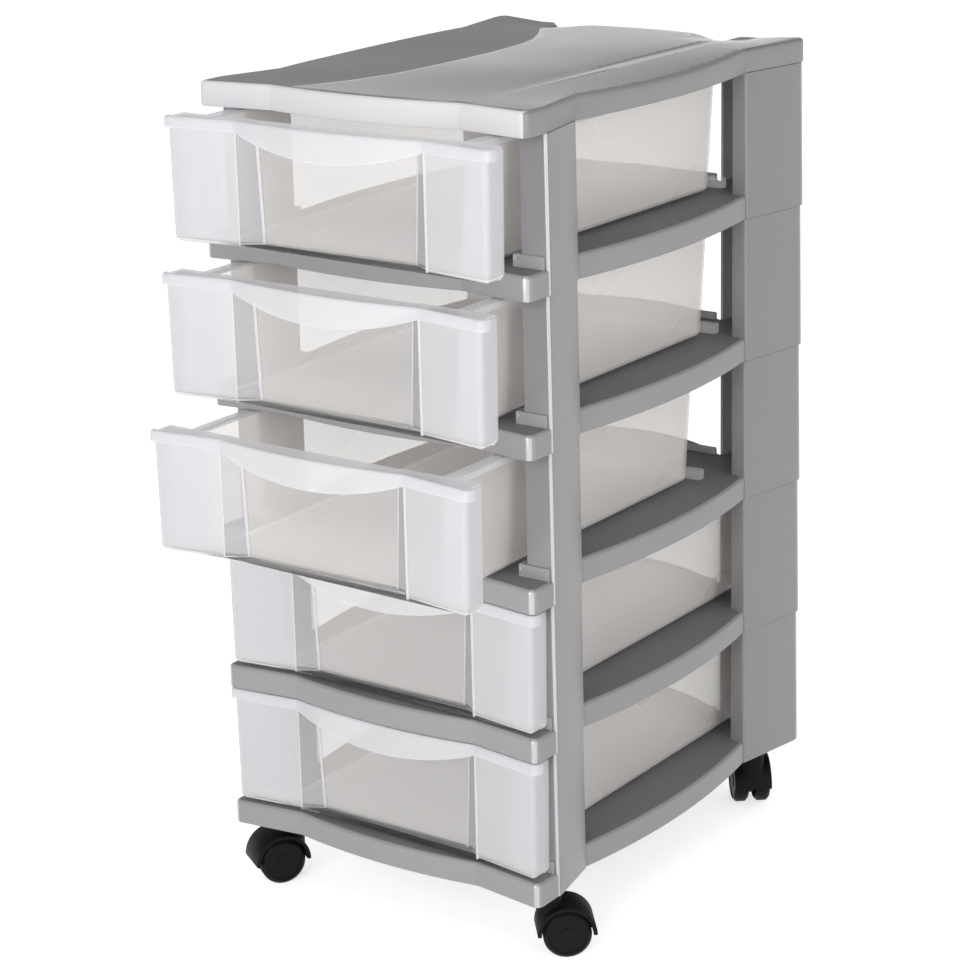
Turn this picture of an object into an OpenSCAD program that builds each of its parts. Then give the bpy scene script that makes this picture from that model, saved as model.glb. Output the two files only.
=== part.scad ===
// Drawer tower on castors: five trays slide in a frame of moulded levels stacked on hollow corner posts.
// X runs across the front, Y towards the back and Z up. The origin is on the floor, under the middle of
// the box around the tower with its drawers opened as set below.

/* [Frame] */
// Width across the front corners
body_w = 300; // [270:1:360]
// Depth from the front corners to the back
body_d = 403.5; // [340:0.5:484]
// Height from one level to the next
level_pitch = 117.5; // [98:0.5:141]
// Height of the edge around each level
lip_h = 19; // [16:0.5:24]
// Thickness of a level's floor
plate_t = 3; // [2:0.5:4]
// Thickness of a level's edge
lip_t = 2.5; // [2:0.1:3.5]
// Thickness of the ribs under a level
rib_t = 2; // [1.5:0.5:3]
// Height of the ribs under a level
rib_h = 4; // [2:0.5:8]
// Clearance around whatever plugs together
fit = 0.3; // [0.2:0.05:0.4]

/* [Outline] */
// Width of the corner blocks of the front, out from the creases
block_w = 63.6; // [54:0.1:76]
// How far the creases lie behind the front corners
crease_y = 8.8; // [5:0.1:11]
// How far the middle of the front lies behind the front corners
bow_y = 1; // [0:0.1:3]
// Radius of the front corners
corner_r = 6; // [5.5:0.5:8]
// How far each side draws in between the corners and the bulge of the rails
waist = 11.5; // [8:0.5:14]
// Radius of the rear corners
rear_corner_r = 11; // [8:0.5:14]
// Height of the raised panel on the top cover
panel_h = 1.5; // [0.5:0.5:3]

/* [Posts] */
// Wall of the hollow posts
post_t = 2.2; // [1.8:0.1:2.8]
// Width of a front post at its front
front_post_w = 24; // [21:0.5:28]
// Depth of a front post
front_post_d = 55; // [46:0.5:66]
// Distance from the front corners to the sockets of the front posts
socket_y = 25; // [23:0.5:30]
// Wall of a socket in front of its post
socket_t = 1.2; // [1:0.1:2]
// Width of a socket beside its post
socket_w = 6.3; // [5:0.1:7.5]
// Height of the sockets above the floor of a level
socket_h = 12.5; // [10:0.5:15]
// Depth of a rear post along the side
rear_post_d = 78.5; // [66:0.5:94]
// Width of a rear post along the back
rear_post_w = 62; // [52:0.5:70]
// Depth of a rear post's back leg
rear_leg_d = 31; // [26:0.5:37]
// Length of the plugs inside the posts
plug_h = 10; // [8:0.5:14]

/* [Drawers] */
// Wall of the trays
tray_t = 2; // [1.6:0.1:2.4]
// Width of the flange along the top of a tray
flange_w = 10; // [8:0.5:14]
// How much a tray narrows on each side towards its bottom
tray_draft = 6; // [4:0.5:9]
// Outer radius along the lower edges of a tray
tray_r = 8; // [6:0.5:10]
// Gap between the flange of a tray and the posts
flange_gap = 2; // [1:0.1:3]
// Height of the down-turned edge of the flange
flange_h = 5; // [3:0.5:8]
// Height of the runners under a tray
runner_h = 2; // [1.5:0.1:3]
// Width of a runner
runner_w = 3; // [2:0.5:5]
// Distance of the runners from the lower edges of a tray
runner_in = 27; // [20:1:40]
// Gap between a drawer front and the level above it
top_gap = 1.2; // [0.8:0.1:3]
// Gap between a drawer front and the level below it
low_gap = 2; // [1:0.1:3]
// Wall of the drawer fronts
front_t = 2.2; // [1.8:0.1:2.6]
// Distance from the front corners to the recessed window
window_y = 20; // [17:0.5:21]
// Height of the band along the top of a drawer front
band_h = 8.8; // [6:0.1:12]
// How far the band stands out from a front corner block
band_out = 1.5; // [1:0.1:2.5]
// How far the band reaches past the side of a corner block
ear_w = 4; // [3:0.5:5]
// Depth of the band's ears
ear_d = 9; // [7:0.5:12]
// Depth of the pull's apron below the top of the front, at its middle
apron_mid_h = 23.6; // [20:0.1:28]
// Depth of the pull's apron at its ends
apron_end_h = 7; // [5:0.1:9]
// Clearance behind a closed drawer and around its stops
stop_gap = 0.3; // [0.2:0.1:0.6]
// Thickness of the bar across the back of a level
bar_t = 3; // [2:0.5:4]
// Height of the bar across the back of a level
bar_h = 6; // [4:0.5:8]
// Clearance between a closed tray and the bar
bar_gap = 2; // [1:0.5:4]
// Length of the stop lugs on a tray
lug_d = 8; // [6:0.5:12]
// Height of the stop lugs
lug_h = 8; // [5:0.5:9]
// Radius of the stem of a closing buffer
buffer_r = 1; // [0.8:0.1:1.2]
// Radius of the head of a closing buffer
buffer_head_r = 1.6; // [1.4:0.1:2.2]
// Thickness of the head of a closing buffer
buffer_h = 1.2; // [0.8:0.1:1.6]
// Length of the stem of a closing buffer
buffer_d = 3.6; // [3:0.1:5]
// Opening of drawer 1, counted from the top
open_1 = 43.5; // [0:0.5:200]
// Opening of drawer 2
open_2 = 55; // [0:0.5:200]
// Opening of drawer 3
open_3 = 78; // [0:0.5:200]
// Opening of drawer 4
open_4 = 0; // [0:0.5:200]
// Opening of drawer 5
open_5 = 0; // [0:0.5:200]

/* [Castors] */
// Radius of a castor wheel
wheel_r = 19; // [17:0.5:21]
// Width of one wheel of a pair
wheel_w = 12.5; // [10:0.5:15]
// Thickness of the web between the wheels
web_t = 5.4; // [4:0.2:7]
// Wall of the hood over the wheels
hood_t = 3; // [3:0.5:5]
// Gap between the hood and the wheels
wheel_gap = 1.2; // [1:0.1:2.5]
// Distance between the swivel axis and the wheel axle
trail = 13; // [10:0.5:16]
// Height of the underside of the frame above the floor
castor_h = 59; // [56:0.5:66]
// Radius of a castor stem
stem_r = 4; // [3:0.5:5]
// Radius of a wheel axle
axle_r = 3; // [2.5:0.5:4]
// Running clearance of stems and axles, on the radius
run_gap = 0.05; // [0.02:0.01:0.1]
// Wall of the stem sleeves
sleeve_t = 2.5; // [2:0.1:3.5]
// Distance of the front stems from the sides
front_stem_in = 22.5; // [20:0.5:32]
// Distance of the front stems behind the front corners
front_stem_y = 46; // [40:0.5:56]
// Distance of the rear stems from the sides
rear_stem_in = 28; // [22:0.5:38]
// Distance of the rear stems in front of the back
rear_stem_y = 34.5; // [28:0.5:44]
// Heading of the front left castor
head_fl = 238; // [0:1:360]
// Heading of the front right castor
head_fr = 40; // [0:1:360]
// Heading of the rear left castor
head_rl = 125; // [0:1:360]
// Heading of the rear right castor
head_rr = 130; // [0:1:360]

/* [Hidden] */
$fn = 120;
over = 1; // how far cutting shapes pass the faces they cut
levels = 5;
least_r = 0.2; // of a corner drawn far in
cross_ribs = 4; // ribs that run across under a level, evenly spread
SIDES = ["left", "right"];

opened = [open_1, open_2, open_3, open_4, open_5];
half_w = body_w / 2;
plug_in = post_t + fit; // from a post's outside to the plug in it
pocket_in = plug_in + lip_t; // from the outline to the hollow under a level

// front posts
post_in_x = half_w - front_post_w;
post_y = socket_y + socket_t + fit;
post_back_y = post_y + front_post_d;
socket_x = post_in_x - socket_w;

// rear posts
rear_y = body_d - rear_post_d;
rear_in_x = half_w - rear_post_w;
leg_y = body_d - rear_leg_d;
rear_side_y = body_d - rear_corner_r;

// arcs of the outline, each from its chord and its height
function arc_r(half_chord, height) = (half_chord * half_chord + height * height) / (2 * height);
crease_x = half_w - block_w;
front_r = arc_r(crease_x, crease_y - bow_y);
front_angle = atan(crease_y / (half_w - crease_x));
corner_cx = half_w - corner_r;
corner_cy = corner_r * (1 + sin(front_angle)) / cos(front_angle);
rail_r = arc_r((rear_y - post_back_y) / 2, waist);
rail_cy = (rear_y + post_back_y) / 2;
back_bow_y = body_d - bow_y;
back_r = arc_r(rear_in_x, back_bow_y - leg_y);
panel_r = 400; // the raised panel ends in a long arc on its left
panel_left_x = 30; // how far left of the middle the arc reaches
panel_right_in = 57; // from the panel's right edge to the side
panel_right_x = half_w - panel_right_in;
panel_edge = 14; // from the panel to the front and to the back

// drawers, measured from the floor of the level below
seat_gap = 1.5; // between parts that pass or stand beside a post without touching it
bay_h = level_pitch - lip_h;
front_low_z = low_gap;
front_top_z = bay_h - top_gap;
tray_low_z = stop_gap + runner_h;
block_back_y = socket_y - buffer_h - stop_gap;
block_x = half_w - ear_w;
bar_y = leg_y - bar_t - seat_gap;
tray_back_y = bar_y - bar_gap;
flange_x = post_in_x - flange_gap;
tray_top_x = flange_x - flange_w;
tray_low_x = tray_top_x - tray_draft;
tray_angle = atan((tray_top_x - tray_low_x) / (front_top_z - tray_low_z));
runner_x = tray_low_x - runner_in;
apron_r = arc_r(crease_x, apron_mid_h - apron_end_h);
lug_x = flange_x - seat_gap;
lug_low_z = tray_low_z + tray_r / 2;
buffer_rise = 0.5; // of the buffers above the middle of a socket
buffer_z = socket_h / 2 + buffer_rise;
buffer_x = socket_x + socket_w / 2;

// castors
skirt_h = 0.5; // how far the hood reaches below the axle
web_r = 11.5; // rounded foot of the web, around the axle
axle_in = 2.5; // from each end of an axle to the side of the hood
tread_round = 2.5; // bevels of a wheel's tread
rim_w = 4; // rim around a wheel's shallow recess
recess_h = 0.6; // depth of that recess
tread_t = 3; // wall under a wheel's tread
disc_t = 3; // a wheel's disc, from the bottom of the hollow behind it to its face
hub_t = 3; // wall of a wheel's hub around its axle
face_t = 1.5; // what closes a wheel's bore
wheel_bay_r = wheel_r + wheel_gap;
hood_r = wheel_bay_r + hood_t;
stem_low_z = wheel_r + sqrt(wheel_bay_r * wheel_bay_r - trail * trail) + over;
wheel_side_gap = wheel_gap / 4; // between a wheel and the web
hood_past = 0.5; // how far the hood reaches past the wheels on each side
castor_w = web_t + 2 * (wheel_side_gap + wheel_w + hood_past);
sleeve_r = stem_r + run_gap + sleeve_t;
end_gap = 0.5; // above a sleeve and above a castor's neck
sleeve_h = lip_h - plate_t - end_gap;
flange_t = 1.5; // of a sleeve, under the frame
boss_t = 3.5; // wall around a sleeve
boss_r = sleeve_r + boss_t;
front_stem_x = half_w - front_stem_in;
rear_stem_x = half_w - rear_stem_in;
neck_top_z = castor_h - flange_t - end_gap;

// middle of the box around the tower, whose back is the frame's or a rear castor hood's
function hood_reach(a) = trail * sin(a) + hood_r * abs(sin(a)) + castor_w / 2 * abs(cos(a));
front_most_y = min(bow_y, corner_cy - corner_r) - max(opened);
back_most_y = max(body_d, body_d - rear_stem_y + max(hood_reach(head_rl), hood_reach(head_rr)));
mid_y = (front_most_y + back_most_y) / 2;

// ---- outline of a level, drawn in by i ----

module round_corner(x, y, r) {
    translate([x, y]) circle(max(r, least_r));
}

module front_corner(i) {
    r = corner_r - i;
    low_y = crease_y + i / cos(front_angle);
    polygon([
        [0, low_y], [crease_x, low_y],
        [corner_cx - r * sin(front_angle), corner_cy - r * cos(front_angle)],
        [corner_cx, corner_cy], [half_w - i, corner_cy], [half_w - i, post_y],
        [half_w - waist - i, post_back_y], [0, post_back_y]
    ]);
    round_corner(corner_cx, corner_cy, r);
}

module side_rail(i) {
    intersection() {
        translate([half_w - rail_r, rail_cy]) circle(rail_r - i);
        translate([0, post_back_y]) square([half_w, rear_y - post_back_y]);
    }
}

module rear_corner(i) {
    r = rear_corner_r - i;
    polygon([
        [rear_in_x + i, rear_y], [half_w - waist - i, rear_y], [half_w - i, rear_side_y],
        [half_w - rear_corner_r, rear_side_y], [half_w - rear_corner_r, body_d - i],
        [rear_in_x + rear_corner_r, body_d - i], [rear_in_x + rear_corner_r, rear_side_y],
        [rear_in_x + i, rear_side_y]
    ]);
    round_corner(half_w - rear_corner_r, rear_side_y, r);
    round_corner(rear_in_x + rear_corner_r, rear_side_y, r);
}

module level_outline(i) {
    intersection() {
        translate([0, bow_y + front_r]) circle(front_r - i);
        translate([-crease_x, 0]) square([2 * crease_x, socket_y]);
    }
    intersection() {
        translate([0, back_bow_y - back_r]) circle(back_r - i);
        translate([-rear_in_x, rear_y]) square([2 * rear_in_x, body_d - rear_y]);
    }
    translate([-rear_in_x - i - over, rear_y - over])
        square([2 * (rear_in_x + i + over), leg_y - i - rear_y + over]);
    for (side = [0, 1]) mirror([side, 0]) {
        front_corner(i);
        side_rail(i);
        rear_corner(i);
    }
}

// ---- plan of the posts on the right; i draws the walls in, g moves the open sides out ----

function front_side_x(y) = half_w - waist * (y - post_y) / front_post_d;
function rear_side_x(y) = half_w - waist * (rear_side_y - y) / (rear_side_y - rear_y);

module front_post_plan(i) {
    polygon([
        [post_in_x + i, post_y + i], [front_side_x(post_y + i) - i, post_y + i],
        [front_side_x(post_back_y - i) - i, post_back_y - i], [post_in_x + i, post_back_y - i]
    ]);
}

module rear_post_plan(i, g) {
    r = rear_corner_r - i;
    polygon([
        [post_in_x - g, rear_y + i], [rear_side_x(rear_y + i) - i, rear_y + i], [half_w - i, rear_side_y],
        [half_w - rear_corner_r, rear_side_y], [half_w - rear_corner_r, body_d - i],
        [rear_in_x + rear_corner_r, body_d - i], [rear_in_x + rear_corner_r, rear_side_y],
        [rear_in_x + i, rear_side_y], [rear_in_x + i, leg_y - g], [post_in_x - g, leg_y - g]
    ]);
    round_corner(half_w - rear_corner_r, rear_side_y, r);
    round_corner(rear_in_x + rear_corner_r, rear_side_y, r);
}

module skin_zone(front, gap) {
    if (front) translate([0, post_y - gap]) square([half_w, front_post_d + 2 * gap]);
    else translate([rear_in_x - gap, rear_y - gap]) square([rear_post_w + gap, rear_post_d + gap]);
}

// the posts' outer skin, which hangs in front of the level's edge
module skin(front, t, gap) {
    intersection() {
        difference() {
            level_outline(0);
            level_outline(t);
        }
        skin_zone(front, gap);
    }
}

// ---- levels ----

module both_sides() {
    for (side = [0, 1]) mirror([side, 0, 0]) children();
}

// walls around the posts' ends: a ledge as high as the edge and plugs that enter the posts
module post_seats(low_plug, top_plug) {
    linear_extrude(lip_h) intersection() {
        level_outline(plug_in);
        union() {
            difference() {
                front_post_plan(0);
                front_post_plan(pocket_in);
            }
            difference() {
                rear_post_plan(0, 0);
                rear_post_plan(pocket_in, -lip_t);
            }
        }
    }
    translate([0, 0, -low_plug]) linear_extrude(low_plug + lip_h + top_plug) {
        difference() {
            front_post_plan(plug_in);
            front_post_plan(pocket_in);
        }
        difference() {
            rear_post_plan(plug_in, 0);
            rear_post_plan(pocket_in, -lip_t);
        }
    }
}

module level_shell(skinned) {
    difference() {
        linear_extrude(lip_h) difference() {
            level_outline(0);
            if (skinned) both_sides() {
                skin(true, plug_in, fit);
                skin(false, plug_in, fit);
            }
        }
        translate([0, 0, -over]) linear_extrude(lip_h - plate_t + over) level_outline(pocket_in);
    }
    translate([0, 0, lip_h - plate_t - rib_h]) linear_extrude(rib_h + over) intersection() {
        level_outline(pocket_in - over);
        union() {
            for (x = [-2:2]) translate([x * crease_x / 2 - rib_t / 2, 0]) square([rib_t, body_d]);
            for (y = [1:cross_ribs])
                translate([-half_w, y * body_d / (cross_ribs + 1)]) square([body_w, rib_t]);
        }
    }
}

module socket() {
    difference() {
        translate([0, 0, lip_h - over]) linear_extrude(socket_h + over) difference() {
            translate([socket_x, socket_y]) square([half_w - plug_in - socket_x, post_back_y - socket_y]);
            front_post_plan(-fit);
            translate([half_w - waist - post_t, post_y + over]) square([waist + post_t, front_post_d]);
        }
        translate([buffer_x, socket_y - over, lip_h + buffer_z]) rotate([-90, 0, 0])
            cylinder(r = buffer_r + run_gap, h = buffer_d + over);
    }
}

module level_top() {
    both_sides() socket();
    translate([seat_gap - rear_in_x, bar_y, lip_h - over])
        cube([2 * (rear_in_x - seat_gap), bar_t, bar_h + over]);
}

module shelf() {
    color("silver") {
        level_shell(true);
        both_sides() post_seats(plug_h, plug_h);
        level_top();
    }
}

module castor_holes(r, h) {
    both_sides() {
        translate([front_stem_x, front_stem_y, 0]) cylinder(r = r, h = h);
        translate([rear_stem_x, body_d - rear_stem_y, 0]) cylinder(r = r, h = h);
    }
}

module base_shelf() {
    color("silver") difference() {
        union() {
            level_shell(true);
            both_sides() post_seats(0, plug_h);
            level_top();
            castor_holes(boss_r, lip_h - over);
        }
        translate([0, 0, -over]) castor_holes(sleeve_r + run_gap, sleeve_h + run_gap + over);
    }
}

module top_cover() {
    color("silver") {
        level_shell(false);
        both_sides() post_seats(plug_h, 0);
        translate([0, 0, lip_h - over]) linear_extrude(panel_h + over) difference() {
            translate([-half_w, panel_edge]) square([half_w + panel_right_x, leg_y - 2 * panel_edge]);
            translate([-panel_r - panel_left_x, rail_cy]) circle(panel_r);
        }
    }
}

// ---- posts ----

module front_post() {
    color("darkgray") {
        translate([0, 0, lip_h]) linear_extrude(bay_h) difference() {
            front_post_plan(0);
            front_post_plan(post_t);
        }
        linear_extrude(lip_h) skin(true, post_t, 0);
    }
}

module rear_post() {
    color("darkgray") {
        translate([0, 0, lip_h]) linear_extrude(bay_h) difference() {
            rear_post_plan(0, 0);
            rear_post_plan(post_t, over);
        }
        linear_extrude(lip_h) skin(false, post_t, 0);
    }
}

// ---- drawers, with the level's floor at z = 0 and the drawer closed ----

// outside of the tray's cross-section, drawn in by i
module tray_section(i, top_z) {
    low_z = tray_low_z + i;
    r = tray_r - i;
    run = (1 - sin(tray_angle)) / cos(tray_angle);
    cx = tray_low_x - i / cos(tray_angle) + i * tan(tray_angle) - r * run;
    for (side = [0, 1]) mirror([side, 0]) {
        polygon([
            [0, low_z], [cx, low_z], [cx, low_z + r],
            [cx + r * cos(tray_angle), low_z + r - r * sin(tray_angle)],
            [tray_top_x - i / cos(tray_angle), top_z], [0, top_z]
        ]);
        translate([cx, low_z + r]) circle(r);
    }
}

module along_y(y0, y1) {
    translate([0, y1, 0]) rotate([90, 0, 0]) linear_extrude(y1 - y0) children();
}

module tray() {
    along_y(window_y, tray_back_y) difference() {
        tray_section(0, front_top_z);
        tray_section(tray_t, front_top_z + over);
    }
    along_y(tray_back_y - tray_t, tray_back_y) tray_section(0, front_top_z);
    both_sides() {
        translate([tray_top_x - tray_t, block_back_y - over, front_top_z - tray_t])
            cube([flange_x - tray_top_x + tray_t, tray_back_y - block_back_y + over, tray_t]);
        translate([flange_x - tray_t, block_back_y - over, front_top_z - flange_h])
            cube([tray_t, tray_back_y - block_back_y + over, flange_h]);
        translate([runner_x - runner_w / 2, window_y, stop_gap])
            cube([runner_w, tray_back_y - window_y, runner_h + over]);
        translate([tray_low_x - tray_t, tray_back_y - lug_d, lug_low_z])
            cube([lug_x - tray_low_x + tray_t, lug_d, lug_h]);
    }
}

// plan of a corner block, drawn in by i
module block_plan(i) {
    in_y = band_out + i;
    intersection() {
        level_outline(in_y);
        translate([crease_x + i, 0]) square([block_x - crease_x - 2 * i, block_back_y - i]);
    }
}

module corner_block() {
    translate([0, 0, front_low_z]) linear_extrude(front_top_z - front_low_z) difference() {
        block_plan(0);
        block_plan(front_t);
    }
    translate([0, 0, front_top_z - front_t]) linear_extrude(front_t) block_plan(0);
    translate([0, 0, front_top_z - band_h]) linear_extrude(band_h) intersection() {
        difference() {
            level_outline(0);
            level_outline(ear_w + over);
        }
        translate([crease_x, 0]) square([half_w - crease_x, ear_d]);
    }
}

module apron() {
    translate([0, 0, front_top_z - apron_mid_h]) intersection() {
        linear_extrude(apron_mid_h) intersection() {
            difference() {
                level_outline(0);
                level_outline(front_t);
            }
            translate([-crease_x - front_t, 0]) square([2 * (crease_x + front_t), window_y]);
        }
        along_y(-over, window_y) intersection() {
            translate([-half_w, 0]) square([body_w, apron_mid_h]);
            translate([0, apron_r]) circle(apron_r);
        }
    }
}

module drawer_front() {
    translate([-crease_x - front_t, window_y, front_low_z])
        cube([2 * (crease_x + front_t), front_t, front_top_z - front_low_z]);
    both_sides() corner_block();
    apron();
    translate([0, 0, front_top_z - front_t]) linear_extrude(front_t) intersection() {
        level_outline(0);
        translate([-crease_x - front_t, 0]) square([2 * (crease_x + front_t), window_y + over]);
    }
}

module drawer() {
    color([0.88, 0.89, 0.92, 0.5]) {
        tray();
        drawer_front();
    }
}

// ---- closing buffers, each pressed into the front of a socket ----

module closing_buffers() {
    color("whitesmoke") for (k = [1:levels]) both_sides()
        translate([buffer_x, socket_y, level_z(k) + lip_h + buffer_z]) {
            rotate([90, 0, 0]) cylinder(r = buffer_head_r, h = buffer_h);
            rotate([-90, 0, 0]) cylinder(r = buffer_r, h = buffer_d - run_gap);
        }
}

// ---- castors, with the swivel axis at x = y = 0, the floor at z = 0 and the axle trailing along +X ----

module castor_sleeve() {
    color("dimgray") translate([0, 0, castor_h]) difference() {
        union() {
            cylinder(r = sleeve_r, h = sleeve_h);
            translate([0, 0, -flange_t]) cylinder(r = boss_r, h = flange_t);
        }
        translate([0, 0, -flange_t - over]) cylinder(r = stem_r + run_gap, h = sleeve_h + flange_t);
    }
}

module castor_stem() {
    color("lightsteelblue") translate([0, 0, stem_low_z])
        cylinder(r = stem_r, h = castor_h + sleeve_h - over - stem_low_z - run_gap);
}

module across(r, w) {
    translate([trail, w / 2, wheel_r]) rotate([90, 0, 0]) cylinder(r = r, h = w);
}

module castor_hood() {
    color("black") difference() {
        union() {
            intersection() {
                across(hood_r, castor_w);
                translate([trail - hood_r, -castor_w / 2, wheel_r - skirt_h])
                    cube([2 * hood_r, castor_w, hood_r + skirt_h]);
            }
            across(web_r, web_t);
            translate([0, 0, wheel_r - skirt_h]) cylinder(r = boss_r, h = neck_top_z - wheel_r + skirt_h);
        }
        for (s = [-1, 1]) translate([0, s * (castor_w / 2 + over / 2), 0])
            across(wheel_bay_r, castor_w - web_t + over);
        across(axle_r + run_gap, castor_w);
        translate([0, 0, stem_low_z - run_gap]) cylinder(r = stem_r + run_gap, h = castor_h);
    }
}

module castor_axle() {
    color("lightsteelblue") across(axle_r, castor_w - 2 * axle_in);
}

// one wheel; out is -1 for the wheel on the -Y side and 1 for the other
module castor_wheel(out) {
    inner_y = web_t / 2 + wheel_side_gap;
    hub_r = axle_r + hub_t;
    color([0.12, 0.12, 0.13]) translate([trail, out * inner_y, wheel_r]) rotate([-90 * out, 0, 0])
        rotate_extrude() difference() {
            polygon([
                [0, 0], [wheel_r - tread_round, 0], [wheel_r, tread_round],
                [wheel_r, wheel_w - tread_round], [wheel_r - tread_round, wheel_w],
                [wheel_r - rim_w, wheel_w], [wheel_r - rim_w, wheel_w - recess_h],
                [hub_r, wheel_w - recess_h], [hub_r, wheel_w], [0, wheel_w]
            ]);
            translate([-over, -over]) square([over + axle_r + run_gap, wheel_w - face_t + over]);
            translate([hub_r, -over]) square([wheel_r - tread_t - hub_r, wheel_w - disc_t + over]);
        }
}

function level_z(k) = castor_h + (levels - k) * level_pitch;
function castor_x(c) = (c % 2 == 0 ? -1 : 1) * (c < 2 ? front_stem_x : rear_stem_x);
function castor_y(c) = c < 2 ? front_stem_y : body_d - rear_stem_y;
headings = [head_fl, head_fr, head_rl, head_rr];

module in_frame() {
    translate([0, -mid_y, 0]) children();
}

module at_level(k) {
    in_frame() translate([0, 0, level_z(k)]) children();
}

module at_castor(c) {
    in_frame() translate([castor_x(c), castor_y(c), 0]) rotate([0, 0, headings[c]]) children();
}

at_level(0) top_cover();
at_level(levels) base_shelf();
in_frame() closing_buffers();
for (k = [1:levels - 1]) {
    at_level(k) shelf();
}
for (k = [1:levels], s = [0, 1]) {
    at_level(k) mirror([1 - s, 0, 0]) front_post();
    at_level(k) mirror([1 - s, 0, 0]) rear_post();
}
for (k = [1:levels]) {
    at_level(k) translate([0, -opened[k - 1], lip_h]) drawer();
}
for (c = [0:3]) {
    name = str(["front_left", "front_right", "rear_left", "rear_right"][c], "_castor_");
    at_castor(c) castor_sleeve();
    at_castor(c) castor_stem();
    at_castor(c) castor_hood();
    at_castor(c) castor_axle();
    at_castor(c) castor_wheel(-1);
    at_castor(c) castor_wheel(1);
}
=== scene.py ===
import math

import bmesh
import bpy
from mathutils import Matrix, Vector
from mathutils.geometry import delaunay_2d_cdt


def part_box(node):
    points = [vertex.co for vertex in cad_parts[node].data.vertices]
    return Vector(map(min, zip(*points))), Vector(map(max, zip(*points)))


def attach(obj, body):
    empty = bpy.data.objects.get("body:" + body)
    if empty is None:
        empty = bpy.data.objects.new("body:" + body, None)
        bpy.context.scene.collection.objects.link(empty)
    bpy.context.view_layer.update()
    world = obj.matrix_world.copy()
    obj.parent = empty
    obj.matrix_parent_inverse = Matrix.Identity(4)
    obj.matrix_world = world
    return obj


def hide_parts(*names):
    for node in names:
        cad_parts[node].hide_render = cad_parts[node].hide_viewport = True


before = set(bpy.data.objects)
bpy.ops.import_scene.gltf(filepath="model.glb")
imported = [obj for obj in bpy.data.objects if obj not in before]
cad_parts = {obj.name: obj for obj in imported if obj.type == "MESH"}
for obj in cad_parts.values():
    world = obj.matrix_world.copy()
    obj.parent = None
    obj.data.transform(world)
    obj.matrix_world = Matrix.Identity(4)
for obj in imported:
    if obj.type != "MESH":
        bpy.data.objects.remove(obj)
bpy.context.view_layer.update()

# Plans and profiles are in millimetres, with X across, Y back from the front corners and Z up.
MM = 0.001
LEVELS = 5
SIDES = {"left": -1, "right": 1}
ENDS = ("front", "rear")

# ---- sizes read from the frame ----


def box_mm(node):
    """Lowest and highest corners of a CAD node, in millimetres."""
    low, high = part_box(node)
    return low / MM, high / MM


shelf_low, shelf_high = box_mm("shelf_4")
post_low, post_high = box_mm("front_right_post_1")
rear_low = box_mm("rear_right_post_1")[0]
lid_high = box_mm("top_cover")[1]
drawer_low, drawer_high = box_mm("drawer_1")
HALF_W = shelf_high.x
PITCH = post_high.z - post_low.z

# ---- sizes of the outline, as moulded ----

CREASE_X, CREASE_Y = HALF_W - 63.6, 8.8  # where the bow of the front meets its slanted ends
CREASE_R = 2
BOW_Y = 1  # how far the bows of the front and the back stand in at their middles
CORNER_R = 6
WAIST = 11.5  # how far the side rails bulge out between the posts
REAR_CORNER_R = 11
LEG_D = 31  # depth of a rear post beside the back's bow
LIP_H, LIP_T = 19, 2.5
PLATE_T = 3
UNDER_Z = LIP_H - PLATE_T
SKIN_GAP = 2.6  # how far a level's edge stands back behind the posts' skins
POST_GAP = 0.3  # how far a level's edge ends before a post
SKIN_CLEAR = 0.05  # clearance between two skins that meet

front_angle = math.atan2(CREASE_Y, HALF_W - CREASE_X)
corner_dip = CORNER_R * (1 + math.sin(front_angle)) / math.cos(front_angle) - CORNER_R
FRONT_Y = shelf_low.y - corner_dip
BODY_D = shelf_high.y - FRONT_Y
POST_Y, POST_BACK_Y, POST_IN_X = post_low.y - FRONT_Y, post_high.y - FRONT_Y, post_low.x
REAR_Y, REAR_IN_X = rear_low.y - FRONT_Y, rear_low.x
LEG_Y = BODY_D - LEG_D
REAR_SIDE_Y = BODY_D - REAR_CORNER_R - 2
RAIL_Y = (POST_BACK_Y + REAR_Y) / 2
TOP_Z = post_high.z
level_z = [TOP_Z - k * PITCH for k in range(LEVELS + 1)]

# ---- plans ----

BOW_STEPS = 12
RAIL_STEPS = 28


def smooth(t):
    """0 up to t = 0 and 1 from t = 1 on, with an even change between them."""
    t = min(1, max(0, t))
    return t * t * (3 - 2 * t)


def arc_radius(half_chord, height):
    return (half_chord**2 + height**2) / (2 * height)


def fillet(corners, steps=5):
    """Points of a closed outline given as corners (x, y, radius), taken anticlockwise."""
    points = []
    for i, (x, y, r) in enumerate(corners):
        here = Vector((x, y))
        if r == 0:
            points.append(here)
            continue
        back = (Vector(corners[i - 1][:2]) - here).normalized()
        ahead = (Vector(corners[(i + 1) % len(corners)][:2]) - here).normalized()
        half = back.angle(ahead) / 2
        centre = here + (back + ahead).normalized() * (r / math.sin(half))
        start = here + back * (r / math.tan(half)) - centre
        end = here + ahead * (r / math.tan(half)) - centre
        turn = start.angle_signed(end)
        for s in range(steps + 1):
            points.append(centre + Matrix.Rotation(-turn * s / steps, 2) @ start)
    return points


def inset(points, d):
    """The same outline drawn in by d, point for point."""
    drawn = []
    for i, p in enumerate(points):
        a = (p - points[i - 1]).normalized()
        b = (points[(i + 1) % len(points)] - p).normalized()
        across_a, across_b = Vector((-a.y, a.x)), Vector((-b.y, b.x))
        drawn.append(p + (across_a + across_b) * (d / max(0.5, 1 + across_a.dot(across_b))))
    return drawn


def distance(p, ring):
    """Distance from p to a closed line."""
    best = math.inf
    for i, b in enumerate(ring):
        a = ring[i - 1]
        t = min(1, max(0, (p - a).dot(b - a) / max(1e-9, (b - a).length_squared)))
        best = min(best, (p - a - (b - a) * t).length)
    return best


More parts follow.
